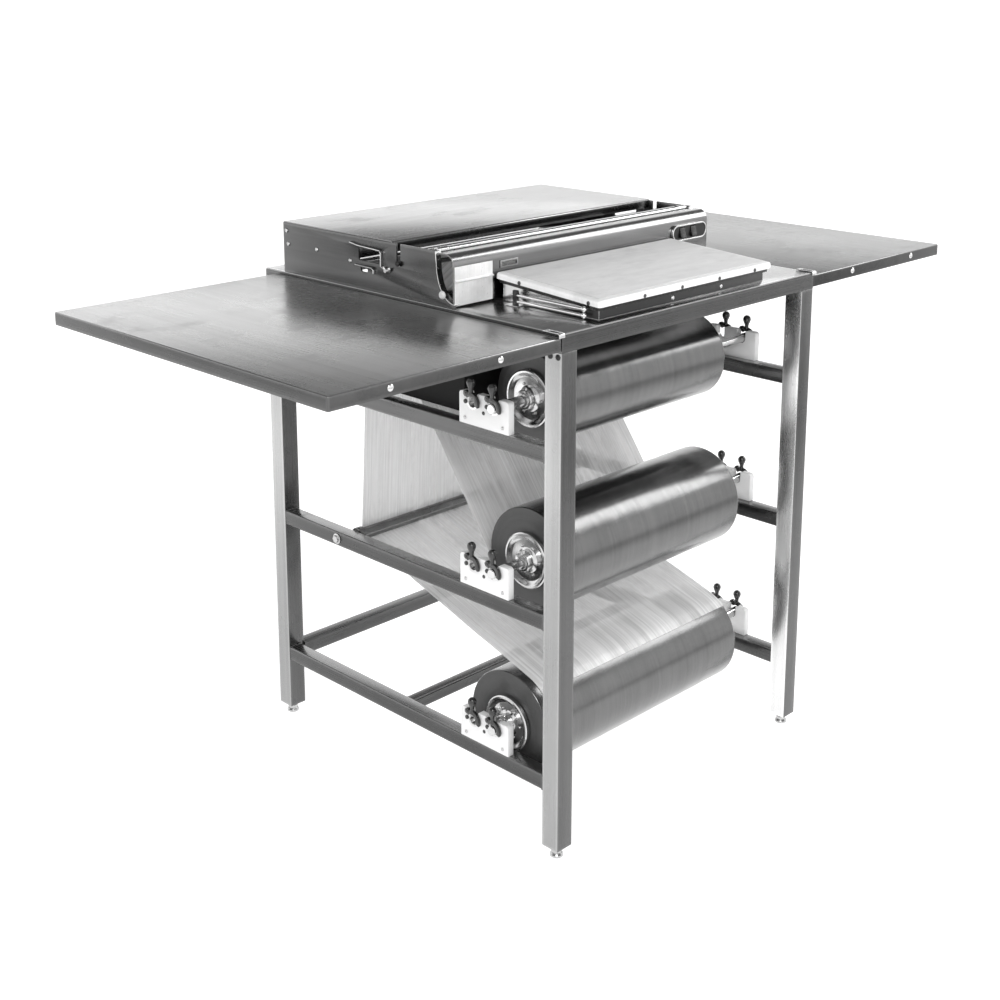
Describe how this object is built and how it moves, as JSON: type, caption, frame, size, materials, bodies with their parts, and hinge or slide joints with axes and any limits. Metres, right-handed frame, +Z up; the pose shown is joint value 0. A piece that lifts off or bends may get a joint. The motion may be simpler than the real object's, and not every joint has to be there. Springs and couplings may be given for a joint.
{
  "type": "film wrapping station",
  "caption": "Floor-standing hand-wrapping station: tube frame holding rolls of stretch film, wing shelves, a head with film slot and cut-off rod, and a sloping hot plate.",
  "frame": {"origin": "on the floor, under the middle of the machine's box", "axes": "+X from the operator's left to the right, +Y from the front to the back, +Z up"},
  "size_m": [1.452, 0.684, 0.9065],
  "materials": {
    "satin_steel": "satin-brushed stainless sheet and tube",
    "plated_steel": "bright turned and plated steel",
    "release_sheet": "aluminium plate under a matte woven release sheet",
    "black_enamel": "black enamelled sheet",
    "cradle_plastic": "white machined plastic, fine saw and mill marks",
    "keeper_plastic": "glossy black moulded plastic",
    "black_plastic": "glossy black moulded plastic",
    "wound_film": "tightly wound clear stretch film, grey, with fine winding rings",
    "clear_film": "clear stretch film, slightly milky, with streaks along its run"
  },
  "bodies": {
    "root": {"leg_front_left": "satin_steel", "leg_front_right": "satin_steel", "leg_back_left": "satin_steel", "leg_back_right": "satin_steel", "rail_left_bottom": "satin_steel", "cradle_left_bottom": "cradle_plastic", "rail_left_middle": "satin_steel", "cradle_left_middle": "cradle_plastic", "rail_left_upper": "satin_steel", "cradle_left_upper": "cradle_plastic", "shelf_left": "satin_steel", "head_side_left": "satin_steel", "rail_right_bottom": "satin_steel", "cradle_right_bottom": "cradle_plastic", "rail_right_middle": "satin_steel", "cradle_right_middle": "cradle_plastic", "rail_right_upper": "satin_steel", "cradle_right_upper": "cradle_plastic", "shelf_right": "satin_steel", "head_side_right": "satin_steel", "rail_back_bottom": "satin_steel", "guide_bar_bottom": "satin_steel", "top_frame": "satin_steel", "top_pan": "satin_steel", "head_platform": "satin_steel", "head_front_panel": "satin_steel", "guide_bar_middle": "plated_steel", "cutoff_rod": "plated_steel", "film_web_bottom": "clear_film", "film_web_middle": "clear_film", "hot_plate": "release_sheet", "hot_plate_base": "black_enamel", "switch_plate": "black_enamel", "power_inlet": "black_plastic"},
    "roll_bottom": {"film_roll_bottom": "wound_film", "spindle_bottom": "plated_steel"},
    "roll_middle": {"film_roll_middle": "wound_film", "spindle_middle": "plated_steel"},
    "roll_upper": {"film_roll_upper": "wound_film", "spindle_upper": "plated_steel"},
    "guide_roller_front": {"guide_roller_front": "plated_steel"},
    "guide_roller_rear": {"guide_roller_rear": "plated_steel"},
    "keeper_left_bottom_front": {"keeper_left_bottom_front": "keeper_plastic"},
    "keeper_left_bottom_back": {"keeper_left_bottom_back": "keeper_plastic"},
    "keeper_left_middle_front": {"keeper_left_middle_front": "keeper_plastic"},
    "keeper_left_middle_back": {"keeper_left_middle_back": "keeper_plastic"},
    "keeper_left_upper_front": {"keeper_left_upper_front": "keeper_plastic"},
    "keeper_left_upper_back": {"keeper_left_upper_back": "keeper_plastic"},
    "keeper_right_bottom_front": {"keeper_right_bottom_front": "keeper_plastic"},
    "keeper_right_bottom_back": {"keeper_right_bottom_back": "keeper_plastic"},
    "keeper_right_middle_front": {"keeper_right_middle_front": "keeper_plastic"},
    "keeper_right_middle_back": {"keeper_right_middle_back": "keeper_plastic"},
    "keeper_right_upper_front": {"keeper_right_upper_front": "keeper_plastic"},
    "keeper_right_upper_back": {"keeper_right_upper_back": "keeper_plastic"},
    "foot_front_left": {"foot_front_left": "plated_steel"},
    "foot_front_right": {"foot_front_right": "plated_steel"},
    "foot_back_left": {"foot_back_left": "plated_steel"},
    "foot_back_right": {"foot_back_right": "plated_steel"},
    "rocker_plate": {"rocker_plate": "black_plastic"},
    "rocker_rod": {"rocker_rod": "black_plastic"}
  },
  "joints": [
    {"name": "roll_bottom_spin", "type": "hinge", "parent": "root", "child": "roll_bottom", "pos_m": [0, -0.208, 0.17], "axis": [1, 0, 0], "continuous": true},
    {"name": "roll_middle_spin", "type": "hinge", "parent": "root", "child": "roll_middle", "pos_m": [0, -0.208, 0.427], "axis": [1, 0, 0], "continuous": true},
    {"name": "roll_upper_spin", "type": "hinge", "parent": "root", "child": "roll_upper", "pos_m": [0, -0.208, 0.685], "axis": [1, 0, 0], "continuous": true},
    {"name": "guide_roller_front_spin", "type": "hinge", "parent": "root", "child": "guide_roller_front", "pos_m": [0, 0, 0.873], "axis": [1, 0, 0], "continuous": true},
    {"name": "guide_roller_rear_spin", "type": "hinge", "parent": "root", "child": "guide_roller_rear", "pos_m": [0, 0.125, 0.765], "axis": [1, 0, 0], "continuous": true},
    {"name": "keeper_left_bottom_front_swing", "type": "hinge", "parent": "root", "child": "keeper_left_bottom_front", "pos_m": [-0.3143, -0.1985, 0.1835], "axis": [-1, 0, 0], "range_deg": [0, 90]},
    {"name": "keeper_left_bottom_back_swing", "type": "hinge", "parent": "root", "child": "keeper_left_bottom_back", "pos_m": [-0.3143, -0.1535, 0.1835], "axis": [-1, 0, 0], "range_deg": [0, 90]},
    {"name": "keeper_left_middle_front_swing", "type": "hinge", "parent": "root", "child": "keeper_left_middle_front", "pos_m": [-0.3143, -0.1985, 0.4405], "axis": [-1, 0, 0], "range_deg": [0, 90]},
    {"name": "keeper_left_middle_back_swing", "type": "hinge", "parent": "root", "child": "keeper_left_middle_back", "pos_m": [-0.3143, -0.1535, 0.4405], "axis": [-1, 0, 0], "range_deg": [0, 90]},
    {"name": "keeper_left_upper_front_swing", "type": "hinge", "parent": "root", "child": "keeper_left_upper_front", "pos_m": [-0.3143, -0.1985, 0.6985], "axis": [-1, 0, 0], "range_deg": [0, 90]},
    {"name": "keeper_left_upper_back_swing", "type": "hinge", "parent": "root", "child": "keeper_left_upper_back", "pos_m": [-0.3143, -0.1535, 0.6985], "axis": [-1, 0, 0], "range_deg": [0, 90]},
    {"name": "keeper_right_bottom_front_swing", "type": "hinge", "parent": "root", "child": "keeper_right_bottom_front", "pos_m": [0.3143, -0.1985, 0.1835], "axis": [-1, 0, 0], "range_deg": [0, 90]},
    {"name": "keeper_right_bottom_back_swing", "type": "hinge", "parent": "root", "child": "keeper_right_bottom_back", "pos_m": [0.3143, -0.1535, 0.1835], "axis": [-1, 0, 0], "range_deg": [0, 90]},
    {"name": "keeper_right_middle_front_swing", "type": "hinge", "parent": "root", "child": "keeper_right_middle_front", "pos_m": [0.3143, -0.1985, 0.4405], "axis": [-1, 0, 0], "range_deg": [0, 90]},
    {"name": "keeper_right_middle_back_swing", "type": "hinge", "parent": "root", "child": "keeper_right_middle_back", "pos_m": [0.3143, -0.1535, 0.4405], "axis": [-1, 0, 0], "range_deg": [0, 90]},
    {"name": "keeper_right_upper_front_swing", "type": "hinge", "parent": "root", "child": "keeper_right_upper_front", "pos_m": [0.3143, -0.1985, 0.6985], "axis": [-1, 0, 0], "range_deg": [0, 90]},
    {"name": "keeper_right_upper_back_swing", "type": "hinge", "parent": "root", "child": "keeper_right_upper_back", "pos_m": [0.3143, -0.1535, 0.6985], "axis": [-1, 0, 0], "range_deg": [0, 90]},
    {"name": "foot_front_left_thread", "type": "slide", "parent": "root", "child": "foot_front_left", "axis": [0, 0, -1], "range_m": [-0.009, 0.02]},
    {"name": "foot_front_right_thread", "type": "slide", "parent": "root", "child": "foot_front_right", "axis": [0, 0, -1], "range_m": [-0.009, 0.02]},
    {"name": "foot_back_left_thread", "type": "slide", "parent": "root", "child": "foot_back_left", "axis": [0, 0, -1], "range_m": [-0.009, 0.02]},
    {"name": "foot_back_right_thread", "type": "slide", "parent": "root", "child": "foot_back_right", "axis": [0, 0, -1], "range_m": [-0.009, 0.02]},
    {"name": "rocker_plate_tilt", "type": "hinge", "parent": "root", "child": "rocker_plate", "pos_m": [0.232, -0.1242, 0.87], "axis": [1, 0, 0], "range_deg": [0, 13]},
    {"name": "rocker_rod_tilt", "type": "hinge", "parent": "root", "child": "rocker_rod", "pos_m": [0.262, -0.1242, 0.87], "axis": [1, 0, 0], "range_deg": [0, 13]}
  ]
}
